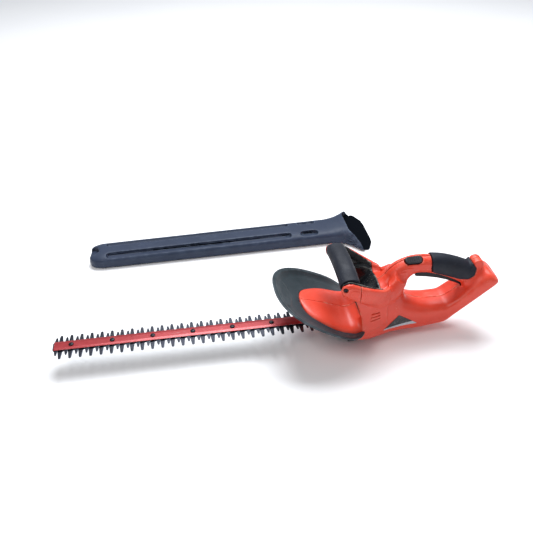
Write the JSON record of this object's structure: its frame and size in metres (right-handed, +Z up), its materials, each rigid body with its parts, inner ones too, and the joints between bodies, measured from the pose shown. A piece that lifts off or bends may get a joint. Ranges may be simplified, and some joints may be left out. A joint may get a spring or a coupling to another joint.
{
  "type": "hedge trimmer",
  "caption": "Cordless hedge trimmer: two toothed blades under a bar, oval hand guard, bridged front handle, looped rear handle with trigger, open battery seat, and a loose blade cover.",
  "frame": {"origin": "middle of the foot's flat underside, where the tool stands on the ground", "axes": "+X from the blades back to the rear handle, +Y to the user's right, +Z up"},
  "size_m": [0.853, 0.5347, 0.1835],
  "materials": {
    "housing_orange": "satin moulded",
    "guard_slate": "satin moulded",
    "grip_rubber": "soft-touch overmould",
    "black_plastic": "satin moulded",
    "label": "printed film",
    "dark_steel": "blackened, worn bright",
    "bright_steel": "zinc plated",
    "bar_red": "satin paint",
    "brass": "plain",
    "red_wire": "wire insulation",
    "cover_plastic": "blow-moulded satin"
  },
  "bodies": {
    "tool": {"left_housing": "housing_orange", "right_housing": "housing_orange", "housing_screw_1": "bright_steel", "housing_screw_2": "bright_steel", "housing_screw_3": "bright_steel", "housing_screw_4": "bright_steel", "housing_screw_5": "bright_steel", "housing_screw_6": "bright_steel", "hand_guard": "guard_slate", "bottom_cover": "guard_slate", "front_handle": "housing_orange", "front_grip": "grip_rubber", "left_handle_screw": "bright_steel", "right_handle_screw": "bright_steel", "hand_space_liner": "black_plastic", "rear_grip": "grip_rubber", "left_label": "label", "right_label": "label", "power_switch": "black_plastic", "trigger_spring": "bright_steel", "lock_off_spring": "bright_steel", "gear_axle": "bright_steel", "upper_gear_plate": "bright_steel", "lower_gear_plate": "bright_steel", "motor_can": "bright_steel", "motor_end_cap": "black_plastic", "support_bar": "bar_red", "blade_bolt_1": "dark_steel", "blade_bolt_2": "dark_steel", "blade_bolt_3": "dark_steel", "blade_bolt_4": "dark_steel", "blade_bolt_5": "dark_steel", "blade_bolt_6": "dark_steel", "blade_bolt_7": "dark_steel", "blade_nut_1": "dark_steel", "blade_nut_2": "dark_steel", "blade_nut_3": "dark_steel", "blade_nut_4": "dark_steel", "blade_nut_5": "dark_steel", "blade_nut_6": "dark_steel", "blade_nut_7": "dark_steel", "terminal_block": "black_plastic", "positive_terminal": "brass", "negative_terminal": "brass", "battery_lead": "red_wire", "motor_lead": "black_plastic"},
    "trigger": {"trigger": "black_plastic"},
    "lock_off": {"lock_off_button": "black_plastic"},
    "drive": {"drive_gear": "bright_steel", "upper_eccentric": "dark_steel", "lower_eccentric": "dark_steel"},
    "rotor": {"motor_shaft": "bright_steel", "motor_pinion": "brass"},
    "short_blade": {"short_tooth_blade": "dark_steel"},
    "long_blade": {"long_tooth_blade": "dark_steel"},
    "cover": {"blade_cover": "cover_plastic"}
  },
  "joints": [
    {"name": "gear_spin", "type": "hinge", "parent": "tool", "child": "drive", "pos_m": [0.0255, 0, 0.056], "axis": [0, 0, 1], "continuous": true},
    {"name": "rotor_spin", "type": "hinge", "parent": "tool", "child": "rotor", "pos_m": [0.0682, 0, 0.076], "axis": [0, 0, 1], "continuous": true},
    {"name": "short_blade_slide", "type": "slide", "parent": "tool", "child": "short_blade", "axis": [1, 0, 0], "range_m": [-0.0022, 0.0098]},
    {"name": "long_blade_slide", "type": "slide", "parent": "tool", "child": "long_blade", "axis": [1, 0, 0], "range_m": [-0.0098, 0.0022]},
    {"name": "trigger_squeeze", "type": "hinge", "parent": "tool", "child": "trigger", "pos_m": [0.123, 0, 0.14], "axis": [0, -1, 0], "range_deg": [0, 3.5], "stiffness_Nm_per_rad": 2, "springref_deg": -5.73, "deforming": ["trigger_spring"]},
    {"name": "lock_off_press", "type": "slide", "parent": "tool", "child": "lock_off", "axis": [0, 0.4078, -0.9131], "range_m": [0, 0.003], "stiffness_N_per_m": 800, "springref_m": -0.002, "deforming": ["lock_off_spring"]},
    {"name": "cover_draw_off", "type": "slide", "parent": "tool", "child": "cover", "axis": [0.9998, 0.0209, 0], "range_m": [-0.48, 0]}
  ],
  "couplings": [
    {"joint": "rotor_spin", "follows": "gear_spin", "ratio": -4.6667},
    {"joint": "long_blade_slide", "follows": "short_blade_slide", "ratio": -1}
  ]
}
